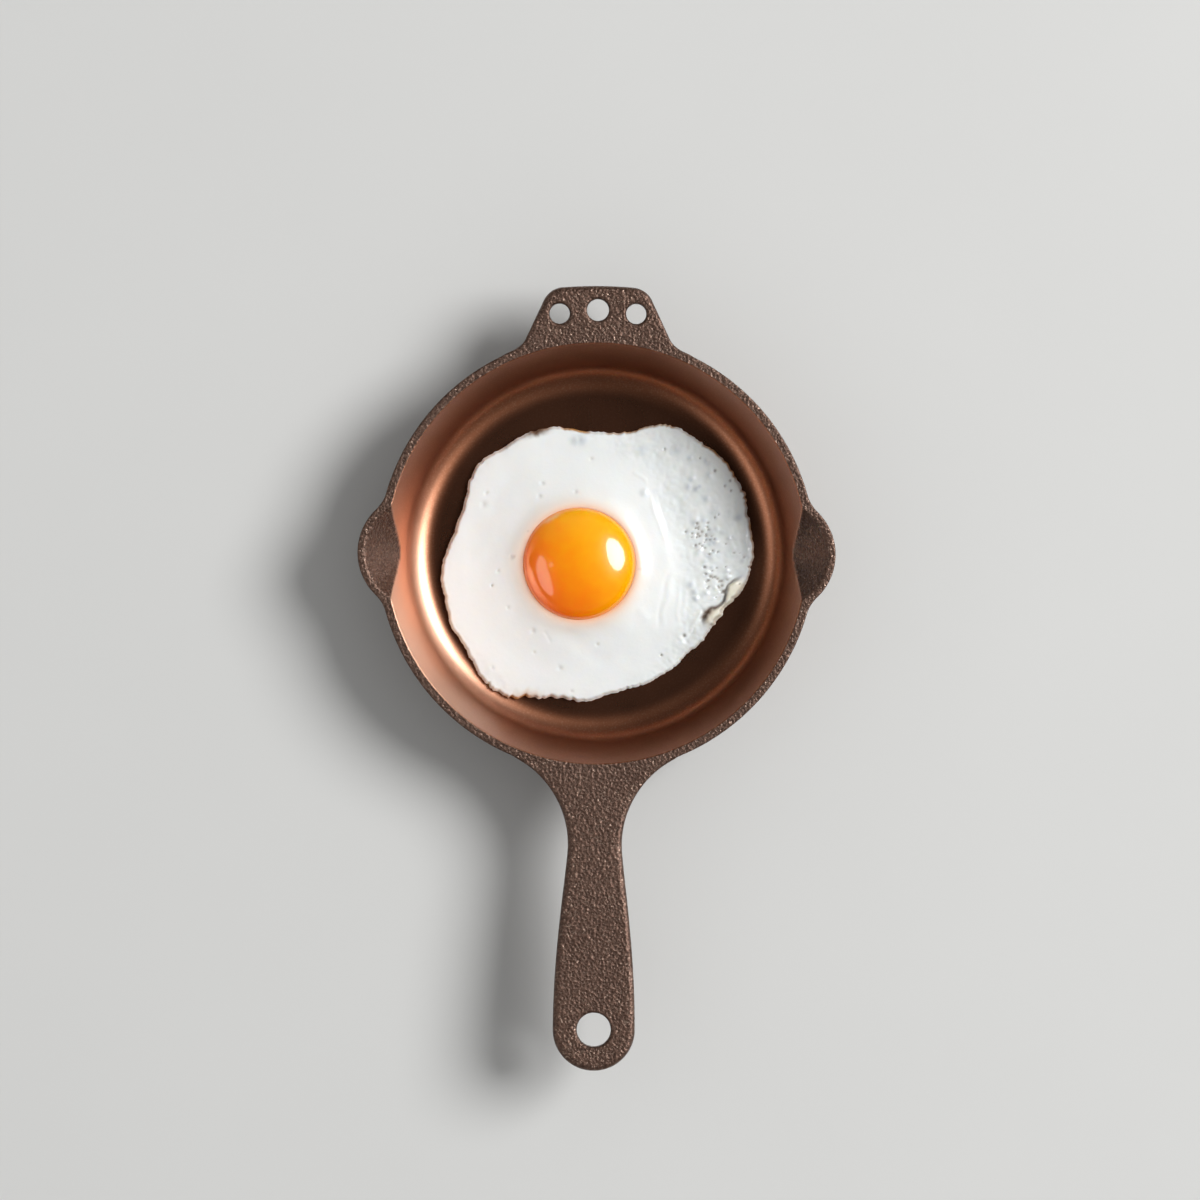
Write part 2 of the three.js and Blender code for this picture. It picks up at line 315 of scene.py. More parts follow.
def bowl_outside(rho, z):
    return cut_round(wall(rho, z, RIM_RADIUS), -z, BASE_ROUND, math.sin(WALL_LEAN))


def bowl_cavity(rho, z):
    side = wall(rho, z, CAVITY_RADIUS)
    return cut_round(side, FLOOR_THICKNESS - z, FLOOR_FILLET, math.sin(WALL_LEAN))


print(f"the wall leans {math.degrees(WALL_LEAN):.1f} degrees")

# %% [markdown]
# ### The spouts
#
# Each spout is a cone standing on its point. A wide cone makes the bulge outside, and a narrower
# one on the same axis scoops the pouring lip out of it. Where the scoop runs through the machined
# wall it leaves the pointed curve that is seen from above.

# %% Spout cones
SPOUT_CENTRE = 62.2
SPOUT_POCKET = 18.0
SPOUT_WALL = 3.0
SPOUT_SHRINK = 0.757


def spout_cone(x, y, z, side, radius):
    slope = math.cos(math.atan(SPOUT_SHRINK))
    return (np.hypot(x - side * SPOUT_CENTRE, y) - radius + SPOUT_SHRINK * (RIM_HEIGHT - z)) * slope


# %% [markdown]
# ### The helper handle
#
# A flat ear with slanting sides, rounded shoulders and a slightly bowed front. Three holes go
# through it. Its underside climbs to the rim at both ends, so that it grows out of the wall.

# %% Helper handle outline
EDGE_ROUND = 1.8
HELPER_SIDE = 24.6
HELPER_SIDE_Y = 75.0
HELPER_SLANT = math.radians(25.0)
HELPER_CROWN = 0.5
HELPER_SHOULDER = 6.5
HELPER_ROOT_ROUND = 8.0
HELPER_THICKNESS = 7.0
HELPER_HOLES = [(-13.25, 83.0, 3.5), (0.0, 84.3, 3.8), (13.25, 83.0, 3.5)]
HOLE_ROUND = 0.9
HELPER_START = 60.0
HELPER_FADE = (24.0, 37.0)  # across; the underside climbs to the rim between these
ROOT_LEAN = 0.71


def helper_handle(x, y, z, rho):
    across = np.abs(x)
    side = (across - HELPER_SIDE) * math.cos(HELPER_SLANT)
    side = side + (y - HELPER_SIDE_Y) * math.sin(HELPER_SLANT)
    front = y - HELPER_TIP + HELPER_CROWN * (x / 12.0) ** 2
    ear = cut_round(side, front, HELPER_SHOULDER, math.sin(HELPER_SLANT))
    rooted = join_round(ear, rho - RIM_RADIUS, HELPER_ROOT_ROUND, ROOT_LEAN)
    outline = np.maximum(np.maximum(rooted, across - HELPER_FADE[1]), HELPER_START - y)
    underside = RIM_HEIGHT - HELPER_THICKNESS * (1.0 - smoothstep(*HELPER_FADE, across))
    return cut_round(outline, underside - z, EDGE_ROUND)


# %% [markdown]
# ### The long handle
#
# The rim flares into the handle along two arcs that touch the rim's circle. From the waist the
# handle widens again to a round end with the hang hole. It leaves the rim level and climbs a hair.

# %% Long handle
WAIST_HALF = 9.35
WAIST_Y = -101.0
END_HALF = 14.2
END_Y = END_HALF - HANDLE_TIP
HANG_HOLE = 5.9
HANDLE_THICKNESS = 8.0
HANDLE_SLOPE = 0.02
RISE_FROM = -76.0
RISE_EASE = 8.0
HANDLE_START = -60.0
FLARE_FADE = (17.0, 33.0)  # across; the underside climbs to the rim between these
FLARE_RADIUS = (WAIST_HALF**2 + WAIST_Y**2 - RIM_RADIUS**2) / (2 * (RIM_RADIUS - WAIST_HALF))


def top_level(y):
    """The height of the casting's top: the rim, and the climbing handle."""
    past = np.maximum(RISE_FROM - y, 0.0)
    eased = np.where(past < RISE_EASE, past**2 / (2 * RISE_EASE), past - RISE_EASE / 2)
    return RIM_HEIGHT + HANDLE_SLOPE * eased


def handle_half(y):
    t = np.clip((WAIST_Y - y) / (WAIST_Y - END_Y), 0.0, 1.0)
    eased = t * t / (t + 0.06 * (1.0 - t) + 1e-9)
    return WAIST_HALF + (END_HALF - WAIST_HALF) * np.sin(math.pi / 2 * eased)


def long_handle(x, y, z):
    across = np.abs(x)
    flare = FLARE_RADIUS - np.hypot(across - WAIST_HALF - FLARE_RADIUS, y - WAIST_Y)
    flare = np.maximum(flare, across - FLARE_FADE[1])
    grip = across - handle_half(y)
    end = np.hypot(across, y - END_Y) - END_HALF
    outline = np.where(y > WAIST_Y, flare, np.where(y > END_Y, grip, end))
    outline = np.maximum(outline, y - HANDLE_START)
    tapered = 1.0 - smoothstep(*FLARE_FADE, across)
    underside = top_level(y) - HANDLE_THICKNESS * tapered
    return cut_round(outline, underside - z, EDGE_ROUND)


print(f"flare radius {FLARE_RADIUS:.1f} mm, hang hole at y = {END_Y:.1f} mm")

# %% [markdown]
# ### The whole casting
#
# The order is the foundry's and the lathe's: join the bulges and handles, level the top, scoop the
# spouts, open the holes, and at last turn the inside smooth, which leaves the one crisp edge.

# %% Distance to the casting
RIM_EDGE = 0.8
SPOUT_FILLET = 5.0
HANDLE_FILLET = 4.0
MACHINED_EDGE = 0.3
SPOUT_BULGE_LEAN = 0.6
SPOUT_LIP_LEAN = 0.4


def casting(x, y, z):
    rho = np.hypot(x, y)
    body = bowl_outside(rho, z)
    for side in (1, -1):
        bulge = spout_cone(x, y, z, side, SPOUT_POCKET + SPOUT_WALL)
        body = join_round(body, bulge, SPOUT_FILLET, SPOUT_BULGE_LEAN)
    fillet = 0.05 + HANDLE_FILLET * smoothstep(RIM_HEIGHT - 1.0, RIM_HEIGHT - 6.0, z)
    body = join_round(body, helper_handle(x, y, z, rho), fillet)
    body = join_round(body, long_handle(x, y, z), fillet)
    on_handles = smoothstep(-80.0, -92.0, y) + smoothstep(79.0, 86.0, y)
    edge = RIM_EDGE + (EDGE_ROUND - RIM_EDGE) * on_handles
    body = cut_round(body, z - top_level(y), edge)
    for side in (1, -1):
        scoop = spout_cone(x, y, z, side, SPOUT_POCKET)
        body = cut_round(body, -scoop, RIM_EDGE, SPOUT_LIP_LEAN)
    for hole_x, hole_y, radius in HELPER_HOLES + [(0.0, END_Y, HANG_HOLE)]:
        body = cut_round(body, radius - np.hypot(x - hole_x, y - hole_y), HOLE_ROUND)
    return cut_round(body, -bowl_cavity(rho, z), MACHINED_EDGE)


# %% [markdown]
# ### Wrapping a skin over the distance
#
# The distance is sampled on a grid, and one point is set in each grid cell that the surface
# crosses. Square grids leave stair steps on round things, so this grid is round too: radii,
# angles and heights, drawn closer where the pan has fine edges. Each point then slides down the
# distance until it lies on the surface.

# %% A grid that is finer where it matters
def graded(*runs):
    """Grid lines from runs of (start, end, spacing)."""
    lines = [np.linspace(a, b, max(2, round((b - a) / step) + 1))[:-1] for a, b, step in runs]
    return np.append(np.concatenate(lines), runs[-1][1])


def pan_grid():
    radii = graded(
        (1.5, 56, 6), (56, 71.5, 1.3), (71.5, 77, 0.36), (77, 96, 0.62), (96, 156, 1.6),
        (156, 181, 0.56),
    )
    angles = graded(
        (-123, -97, 0.7), (-97, -93, 0.37), (-93, -87, 0.22), (-87, -83, 0.37), (-83, -57, 0.7),
        (-57, -19, 1.5), (-19, 19, 0.48), (19, 60, 1.5), (60, 77, 0.7), (77, 103, 0.37), (103, 120, 0.7),
        (120, 161, 1.5), (161, 199, 0.48), (199, 237, 1.5),
    )[:-1]
    rim = RIM_HEIGHT
    heights = graded((-0.9, 12, 1.15), (12, rim - 9, 2.1), (rim - 9, rim + 3.4, 0.52))
    return radii, np.radians(angles), heights


# %% Wrap the skin
def slide_to_surface(distance, points, steps=5, reach=0.02):
    """Moves points onto the surface and returns them with their unit normals."""
    for _ in range(steps):
        slope = np.empty_like(points)
        for axis in range(3):
            shift = np.zeros(3)
            shift[axis] = reach
            ahead = distance(*(points + shift).T)
            behind = distance(*(points - shift).T)
            slope[:, axis] = (ahead - behind) / (2 * reach)
        length = np.maximum(np.linalg.norm(slope, axis=1), 0.3)
        step = np.clip(distance(*points.T) / length, -0.6, 0.6)
        points = points - (step / length)[:, None] * slope
    return points, slope / np.maximum(np.linalg.norm(slope, axis=1), 1e-9)[:, None]


def wrap_skin(distance, radii, angles, heights):
    turn = np.append(angles, angles[0] + 2 * math.pi)
    grid = np.meshgrid(radii, turn, heights, indexing="ij")
    nodes = np.stack([grid[0] * np.cos(grid[1]), grid[0] * np.sin(grid[1]), grid[2]])
    value = distance(*nodes.astype(np.float32)).astype(np.float32)
    inside = value < 0.0
    corners = list(np.ndindex(2, 2, 2))
    nr, na, nz = (size - 1 for size in value.shape)
    held = sum(inside[a:a + nr, b:b + na, c:c + nz].astype(np.int8) for a, b, c in corners)
    cell = np.argwhere((held > 0) & (held < 8))
    number = np.full((nr, na, nz), -1)
    number[tuple(cell.T)] = np.arange(len(cell))
    total = np.zeros((len(cell), 3))
    crossings = np.zeros(len(cell))
    for first in corners:
        for axis in range(3):
            if first[axis]:
                continue
            second = tuple(1 if k == axis else step for k, step in enumerate(first))
            a = tuple((cell + first).T)
            b = tuple((cell + second).T)
            crossed = inside[a] != inside[b]
            share = np.where(crossed, value[a] / np.where(crossed, value[a] - value[b], 1.0), 0.0)
            for k in range(3):
                total[:, k] += crossed * (nodes[k][a] + share * (nodes[k][b] - nodes[k][a]))
            crossings += crossed
    points = total / crossings[:, None]
    faces = skin_faces(inside, number, na)
    points, faces = close_axis(points, faces, number, held, heights)
    return points, faces


def skin_faces(inside, number, na):
    """One face for each grid line that passes through the surface, from the four cells round it."""
    faces = []
    for axis, (p, q) in enumerate([(1, 2), (2, 0), (0, 1)]):
        near = [slice(None)] * 3
        far = [slice(None)] * 3
        near[axis] = slice(0, -1)
        far[axis] = slice(1, None)
        crossed = inside[tuple(near)] != inside[tuple(far)]
        line = np.argwhere(crossed)
        line = line[line[:, 1] < na]
        shape = np.array(number.shape)
        for k in (p, q):
            if k != 1:
                line = line[(line[:, k] > 0) & (line[:, k] < shape[k])]
        ring = []
        for dp, dq in ((-1, -1), (0, -1), (0, 0), (-1, 0)):
            at = line.copy()
            at[:, p] += dp
            at[:, q] += dq
            at[:, 1] %= na
            ring.append(number[tuple(at.T)])
        quad = np.stack(ring, axis=1)
        outward = inside[tuple(line.T)]
        quad = np.where(outward[:, None], quad, quad[:, ::-1])
        faces.append(quad)
    return np.concatenate(faces)


def close_axis(points, faces, number, held, heights):
    """The grid stops short of the bowl's axis; a fan of triangles fills the floor and the base."""
    faces = faces.tolist()
    for level, upward in ((0.0, False), (FLOOR_THICKNESS, True)):
        k = int(np.searchsorted(heights, level)) - 1
        ring = number[0, :, k]
        points = np.vstack([points, [0.0, 0.0, level]])
        for a, b in zip(ring, np.roll(ring, -1)):
            near, far = (a, b) if upward else (b, a)
            faces.append([len(points) - 1, int(near), int(far)])
    return points, faces


pan_points, pan_faces = wrap_skin(casting, *pan_grid())
pan_points, pan_normals = slide_to_surface(casting, pan_points)
pan_bottom, pan_top = pan_points[:, 2].min(), pan_points[:, 2].max()
print(f"skillet skin: {len(pan_points)} points, height {pan_bottom:.2f} to {pan_top:.2f} mm")


# %% [markdown]
# ### The iron's finish
#
# Outside, the iron keeps the grain of the sand that it was cast in: a bronze-brown skin of small
# lumps and pits with a soft sheen, so that each lump catches the light on one side. Inside, it
# was turned smooth and seasoned, so it has a satin copper shine with faint rings from the lathe.
# One finish holds both, and a number painted on each point says which one shows. A second number
# makes one stretch of the wall paler. It stands in for a broad reflection that the lights of this
# scene don't give, so it is paint and stays where it is when the camera moves.

# %% Paint the machined area and the paler stretch of wall
pan_rho = np.hypot(*pan_points[:, :2].T)
pan_degrees = np.degrees(np.arctan2(pan_points[:, 1], pan_points[:, 0]))
machined = 1.0 - smoothstep(0.05, 0.3, np.abs(bowl_cavity(pan_rho, pan_points[:, 2])))
on_wall = smoothstep(FLOOR_RADIUS, FLOOR_RADIUS + 6.0, pan_rho)
pale_wall = machined * on_wall * bump_at(pan_degrees, 203, 33)
print(f"machined share of the points: {machined.mean():.2f}")


# %% Mix the iron finish
def rough_casting(iron):
    """Colour, roughness and relief of the skin left by the sand."""
    lumps = iron.noise(760.0, detail=3.0, roughness=0.55)
    pits = iron.cells(900.0)
    sand = iron.noise(1500.0, detail=4.0, roughness=0.7)
    patches = iron.noise(110.0, detail=4.0)
    painted_glint = iron.noise(1300.0, detail=3.0, roughness=0.65).between(0.58, 0.66)
    brown = iron.mix(patches, colour(92, 67, 55), colour(112, 85, 71))
    brown = iron.mix(pits.between(0.75, 0.2) * 0.45, brown, colour(48, 32, 25))
    brown = iron.mix(sand.between(0.35, 0.6), iron.mix(0.4, brown, colour(44, 29, 22)), brown)
    # Pale specks mixed in here are painted glints: a painted highlight on the cast skin. The same mask
    # makes those spots a little less rough.
    brown = iron.mix(painted_glint * 0.42, brown, colour(212, 184, 164))
    relief = lumps * 0.4 + sand * 0.25 + pits * 0.35
    return brown, 0.38 - painted_glint * 0.12, iron.bump(relief, 0.6 * MM)


def turned_inside(iron):
    """Colour, roughness and relief of the seasoned copper-brown inside."""
    rho = iron.from_axis(iron.place())
    rings_across = {"W": rho, "Scale": 1500.0, "Detail": 2.0}
    rings = iron.node("ShaderNodeTexNoise", {"noise_dimensions": "1D"}, rings_across)
    stain = iron.noise(60.0, detail=5.0, roughness=0.6)
    grain = iron.noise(1500.0, detail=2.0, roughness=0.6)
    up_wall = rho.between(0.0545, 0.0600)
    copper = iron.mix(stain, colour(142, 88, 60), colour(164, 106, 76))
    copper = iron.mix(grain.between(0.45, 0.75) * 0.3, copper, colour(198, 146, 118))
    # The floor below the wall gets a darker copper: painted shade that keeps the turned floor dark.
    copper = iron.mix((1 - up_wall) * 0.55, copper, colour(106, 64, 40))
    copper = iron.mix(iron.painted("pale_wall") * 0.85, copper, colour(224, 182, 156))
    relief = (rings * 0.35 + grain * 0.65) * (1 - up_wall * 0.8)
    return copper, 0.25 + stain * 0.05 + up_wall * 0.12, iron.bump(relief, 0.02 * MM)


def iron_finish():
    iron = Finish("seasoned_iron", Coat_Roughness=0.32, Coat_IOR=1.5)
    inside = iron.painted("machined")
    cast = rough_casting(iron)
    turned = turned_inside(iron)
    return iron.finished(
        Base_Color=iron.mix(inside, cast[0], turned[0]),
        Roughness=cast[1] * (1 - inside) + turned[1] * inside,
        Metallic=0.6 + inside * 0.4,
        Coat_Weight=inside * 0.3,
        Normal=iron.mix(inside, cast[2], turned[2]),
    )


make_piece(
    "skillet_casting", pan_points, pan_faces, "skillet",
    iron_finish(), {"machined": machined, "pale_wall": pale_wall}, pan_normals,
)

# %% [markdown]
# ## The egg white
#
# The white is one pool that set as it ran: thick around the yolk, thin and blistered where it ran
# furthest, with a ragged edge that browned a little. A pool like this is easiest as spokes that
# start under the yolk, run out over the top, turn round the thin edge and come back underneath.

# %% Outline of the white
OUTLINE_RING = 44.5
LOBES = [  # direction in degrees, spread in degrees, reach in mm
    (32, 30, 18), (58, 9, 4.5), (109, 20, 4.5), (137, 13, 4), (189, 18, 4), (208, 9, 2.5),
    (236, 21, 8.5), (273, 10, 3), (308, 22, 4), (330, 11, 3), (356, 19, 10.5),
]
EGG_GAP = 0.3


def white_outline(degrees):
    """Distance from the yolk's centre to the white's edge."""
    radius = OUTLINE_RING + sum(reach * bump_at(degrees, at, spread) for at, spread, reach in LOBES)
    x = radius * np.cos(np.radians(degrees))
    y = radius * np.sin(np.radians(degrees))
    ragged = 0.62 + 0.8 * bump_at(degrees, 240, 16) + 0.35 * bump_at(degrees, 20, 50)
    frill = 0.5 * Drift(11, 4.5)(x, y) + 0.45 * Drift(12, 1.9)(x, y) + 0.42 * Drift(13, 0.9)(x, y)
    return radius + ragged * frill


def pan_level(x, y):
    """Height of the pan's inside surface near the floor."""
    past = np.clip(np.hypot(x, y) - FLOOR_RADIUS, 0.0, 0.8 * FLOOR_FILLET)
    return FLOOR_THICKNESS + FLOOR_FILLET - np.sqrt(FLOOR_FILLET**2 - past**2)


# %% [markdown]
# ### Relief of the white
#
# Each mark that a cook would point at is a small function of the place: the collar that climbs to
# the yolk, the shoulder where the thick white ends, blisters and pinholes in the thin part, a few
# soft creases, wrinkles along the right-hand margin, and the flap that folded over itself. Their
# sum is the thickness.

# %% Helpers for marks
THICK = 4.4
SHORE = 2.5
THIN = 2.3
EDGE_THICKNESS = 1.4
EDGE_ROUNDING = 0.9
THINNEST = 0.4


def thin_share(x, y, r, degrees):
    """1 where the white ran thin: the right-hand side, and the top right."""
    wobble = 1.6 * Drift(21, 9.0)(x, y) + 0.9 * Drift(22, 4.0)(x, y)
    reach = 35.0 + 14.0 * (1.0 - bump_at(degrees, 14, 58)) + wobble
    return smoothstep(reach - 5.0, reach + 4.0, r)


def along(x, y, start, end):
    """Share of the way from start to end, and the distance from that line."""
    start = np.array(start, dtype=float)
    way = np.array(end, dtype=float) - start
    length = np.hypot(*way)
    share = ((x - start[0]) * way[0] + (y - start[1]) * way[1]) / length**2
    off = ((x - start[0]) * way[1] - (y - start[1]) * way[0]) / length
    return share, off


def ended(share):
    """Fades a line out at its two ends."""
    return smoothstep(-0.12, 0.12, share) * smoothstep(1.12, 0.88, share)


def marks(x, y, spots):
    """The strongest of many soft round marks at each place."""
    total = np.zeros_like(x)
    for spot_x, spot_y, radius in spots:
        near = (np.abs(x - spot_x) < 3 * radius) & (np.abs(y - spot_y) < 3 * radius)
        away = (x[near] - spot_x) ** 2 + (y[near] - spot_y) ** 2
        total[near] = np.maximum(total[near], np.exp(-away / radius**2))
    return total


def scatter(seed, count, centre, spread, small, large):
    """Seeded round marks: x, y and radius."""
    rng = np.random.default_rng(seed)
    places = rng.normal(centre, spread, (count, 2))
    return np.column_stack([places, rng.uniform(small, large, count)])


# %% Creases and the folded flap
CREASES = [  # start, end, width, depth, all in mm; a negative depth is a ridge
    ((25.5, -6.0), (21.0, -25.0), 0.8, 0.13), ((27.2, -6.0), (23.0, -25.0), 0.9, -0.08),
    ((29.5, -8.0), (28.5, -24.0), 0.7, -0.1), ((31.5, -12.0), (31.0, -22.0), 0.7, -0.1),
    ((34.5, -26.0), (31.5, -31.0), 0.8, 0.4), ((36.0, -20.0), (33.0, -27.0), 0.8, -0.3),
    ((19.0, 20.0), (23.5, 4.0), 0.6, -0.13), ((21.5, 21.0), (25.0, 8.0), 0.6, 0.09),
    ((13.0, 29.0), (17.5, 25.5), 0.7, -0.14), ((15.0, -19.0), (18.0, -23.0), 1.6, -0.1),
    ((-18.0, -27.0), (-15.5, -31.0), 0.6, 0.1), ((-30.0, -20.0), (-22.0, -32.0), 4.0, 0.2),
    ((-12.0, -27.0), (4.0, -38.0), 4.0, 0.25), ((-38.0, 2.0), (-34.0, -18.0), 4.0, 0.15),
]
FLAP_START = (49.5, -8.5)
FLAP_END = (38.0, -23.5)
FLAP_WIDTH = 3.0


def margin_wrinkles(x, y, edge, degrees):
    """Fine folds that run along the right-hand margin."""
    return Drift(55, 1.0)(edge / 1.3 + 0.8 * Drift(56, 6.0)(x, y), degrees / 7.0)


def creases(x, y):
    total = 0.0
    waver = 0.9 * Drift(24, 5.0)(x, y)
    for start, end, width, depth in CREASES:
        share, off = along(x, y, start, end)
        off = off + waver
        total = total - depth * ended(share) * np.exp(-((off / width) ** 2))
    return total


def flap(x, y):
    """A strip of the edge folded inwards: its height, and the browned crack on its inner side."""
    share, off = along(x, y, FLAP_START, FLAP_END)
    bent = -off + 0.9 * np.sin(share * 9.0) + 0.5 * Drift(23, 1.6)(x, y)
    strip = smoothstep(-0.35, 0.3, bent) * smoothstep(FLAP_WIDTH + 3.0, FLAP_WIDTH, bent)
    gape = 0.5 + 0.6 * smoothstep(0.45, 0.85, share)
    crack = np.exp(-(((bent + 0.6) / gape) ** 2)) * (0.6 + 0.4 * smoothstep(0.5, 0.9, share))
    return ended(share) * (1.6 * strip - 0.8 * crack), ended(share) * strip, ended(share) * crack


# %% Holes, blisters and dimples
PINHOLES = np.vstack([
    [(41.1, 29.2, 0.5), (48.3, 27.9, 0.45), (46.5, 25.8, 0.45), (44.6, 23.9, 0.4), (46.8, 22.3, 0.4)],
    [(35.8, 33.5, 0.35), (23.5, 36.6, 0.35), (35.2, 7.0, 0.55), (36.6, 7.8, 0.5), (34.9, 10.6, 0.4)],
    [(34.5, 3.1, 0.5), (37.6, -4.5, 0.45), (39.7, -7.8, 0.6), (43.7, -10.9, 0.5), (44.1, -12.9, 0.55)],
    [(51.4, -1.0, 0.35), (53.1, -4.1, 0.4), (30.7, -28.4, 0.6), (22.7, -35.2, 0.4), (-36.4, -11.3, 0.35)],
    scatter(31, 26, (36.5, 8.5), (2.6, 3.6), 0.2, 0.45),
    scatter(35, 16, (43.5, 0.5), (3.0, 7.5), 0.18, 0.4),
    scatter(33, 14, (41.5, -9.5), (2.2, 2.6), 0.22, 0.5),
])
BLISTERS = np.vstack([
    [(28.2, 36.6, 1.6), (41.7, 14.5, 1.5), (40.4, 7.8, 1.5), (40.2, 5.2, 1.4), (39.8, -0.3, 1.5)],
    [(38.1, -6.8, 1.4), (15.8, 36.2, 1.8), (-5.0, 39.6, 1.9), (-7.5, 39.4, 1.5), (33.0, -10.5, 1.3)],
    scatter(41, 26, (41.0, 0.0), (5.0, 10.0), 0.7, 1.3),
    scatter(42, 10, (32.0, 28.0), (8.0, 5.0), 0.7, 1.2),
])
DIMPLES = np.vstack([
    [(-39.5, 17.0, 1.1), (-38.5, 21.0, 0.6), (-36.0, -40.0, 0.6), (-12.5, -40.0, 0.8), (-8.4, -48.0, 0.5)],
    [(-22.0, -27.0, 0.9), (-34.3, -6.1, 0.6), (-19.0, 24.5, 0.7), (-20.0, 20.0, 0.8), (-2.0, 33.0, 0.6)],
    scatter(44, 14, (-14.0, -8.0), (20.0, 26.0), 0.4, 0.7),
])


# %% Thickness of the white
def white_thickness(x, y, r, edge, degrees):
    thin = thin_share(x, y, r, degrees)
    mound = SHORE + (THICK - SHORE) * smoothstep(40.0, 21.0, r)
    body = mound * (1.0 - thin) + THIN * thin
    shore = np.clip(edge / EDGE_ROUNDING, 0.0, 1.0)
    body = EDGE_THICKNESS + (body - EDGE_THICKNESS) * np.sqrt(1.0 - (1.0 - shore) ** 2)
    collar = 1.5 * np.exp(-(((r - YOLK_RADIUS) / 4.0) ** 2))
    swell = 0.22 * Drift(51, 12.0)(x, y) + 0.08 * Drift(52, 5.0)(x, y)
    wrinkle = thin * (0.14 * Drift(53, 2.6)(x, y) + 0.1 * Drift(54, 1.2)(x, y))
    margin = thin * bump_at(degrees, 8, 34) * smoothstep(13.0, 3.0, edge)
    folds = margin * 0.4 * margin_wrinkles(x, y, edge, degrees)
    blister = 0.4 * marks(x, y, BLISTERS)
    sunk = 0.3 * marks(x, y, DIMPLES) + 0.8 * marks(x, y, PINHOLES)
    away_from_yolk = smoothstep(YOLK_RADIUS, YOLK_RADIUS + 4.0, r)
    relief = swell + wrinkle + folds + blister - sunk + creases(x, y) + flap(x, y)[0]
    relief = away_from_yolk * relief
    return np.maximum(body + collar + relief * smoothstep(0.0, 1.2, edge), THINNEST)


# %% Spokes of the white
POCKET_FLOOR = 0.9
POCKET_CLIMB = 2.6


def white_points():
    degrees = graded((-70, 75, 0.36), (75, 290, 0.7))[:-1]
    radius = white_outline(degrees)
    lip = EDGE_THICKNESS * 0.35
    rings = []

    def ring(r, lift):
        x = YOLK_X + r * np.cos(np.radians(degrees))
        y = YOLK_Y + r * np.sin(np.radians(degrees))
        rings.append(np.column_stack([x, y, pan_level(x, y) + EGG_GAP + lift(x, y)]))

    for share in (0.3, 0.6, 0.85, 0.95):
        r = np.full_like(radius, share * (YOLK_RADIUS - 0.6))
        ring(r, lambda x, y: POCKET_FLOOR + POCKET_CLIMB * share**6)
    inner = YOLK_RADIUS - 0.4
    for v in np.concatenate([np.linspace(0, 0.94, 84)[:-1], np.linspace(0.94, 1, 8)]):
        r = inner + (radius - lip - inner) * v
        ring(r, lambda x, y: white_thickness(x, y, r, radius - lip - r, degrees))
    top = rings[-1][:, 2].copy()
    low = pan_level(*rings[-1][:, :2].T) + EGG_GAP
    for angle in np.radians([60, 30, 0, -30, -60]):
        r = radius - lip + lip * math.cos(angle)
        level = (top + low) / 2 + (top - low) / 2 * math.sin(angle)
        ring(r, lambda x, y: level - pan_level(x, y) - EGG_GAP)
    for share in (0.97, 0.9, 0.75, 0.5, 0.25):
        ring(share * (radius - lip), lambda x, y: 0.0)
    return degrees, rings


def join_rings(rings):
    """Rings of equal length become one closed skin, with a point at each end."""
    count = len(rings[0])
    points = np.vstack(rings + [rings[0].mean(axis=0), rings[-1].mean(axis=0)])
    around = np.arange(count)
    following = (around + 1) % count
    faces = []
    for k in range(len(rings) - 1):
        near, far = k * count, (k + 1) * count
        strip = [near + around, far + around, far + following, near + following]
        faces += np.column_stack(strip).tolist()
    first, last = len(points) - 2, len(points) - 1
    end = (len(rings) - 1) * count
    faces += [[first, int(a), int(b)] for a, b in zip(around, following)]
    faces += [[last, int(end + b), int(end + a)] for a, b in zip(around, following)]
    return points, faces


spoke_degrees, white_rings = white_points()
white_skin, white_faces = join_rings(white_rings)
print(f"white: {len(spoke_degrees)} spokes and {len(white_rings)} rings")
print(f"highest point {white_skin[:, 2].max():.1f} mm")

# %% [markdown]
# ### The white's finish
#
# Set white is opaque and soft: light goes in a little and comes out again. Where it is thin, the
# dark pan shows through and turns it a cool grey. The frill at the edge and the pinholes brown
# first. Numbers painted on the points carry these to the finish.

# %% Paint the white
def white_paints():
    x, y = white_skin[:, 0], white_skin[:, 1]
    r = np.hypot(x - YOLK_X, y - YOLK_Y)
    degrees = np.degrees(np.arctan2(y - YOLK_Y, x - YOLK_X))
    edge = white_outline(degrees) - r
    thin = thin_share(x, y, r, degrees)
    _, strip, crack = flap(x, y)
    cloud = 0.5 + 0.5 * Drift(61, 7.0)(x, y)
    patch = marks(x, y, BLISTERS)
    margin = thin * bump_at(degrees, 8, 34) * smoothstep(12.0, 1.0, edge)
    streaks = margin * (0.5 + 0.5 * margin_wrinkles(x, y, edge, degrees))
    golden = bump_at(degrees, 84, 22) + bump_at(degrees, 30, 26) + bump_at(degrees, 250, 8)
    golden = np.clip(0.25 + golden, 0.0, 1.0) * smoothstep(-0.8, 0.2, Drift(63, 5.0)(x, y))
    crisp = smoothstep(1.0, 0.3, edge) * golden
    lace = smoothstep(3.0, 0.6, edge) * bump_at(degrees, 108, 3.8)
    stain = 0.5 * smoothstep(4.0, 0.5, edge) * bump_at(degrees, 249, 6)
    holes = marks(x, y, PINHOLES) + 0.25 * marks(x, y, DIMPLES)
    return {
        "thin": np.clip((0.14 * thin * cloud + 0.5 * streaks) * (1.0 - strip), 0.0, 1.0),
        "cream": strip,
        "patch": patch * (0.35 + 0.65 * cloud),
        "crisp": np.clip(crisp + stain, 0.0, 1.0),
        "scorch": np.clip(0.75 * holes + 1.3 * crack + 1.2 * lace, 0.0, 1.0),
        # The orange halo round the yolk is a painted glow: the yolk's light seen through the white.
        "painted_yolk_glow": np.exp(-np.maximum(r - YOLK_RADIUS, 0.0) / 2.3) * (0.75 + 0.25 * bump_at(degrees, -45, 60)),
    }


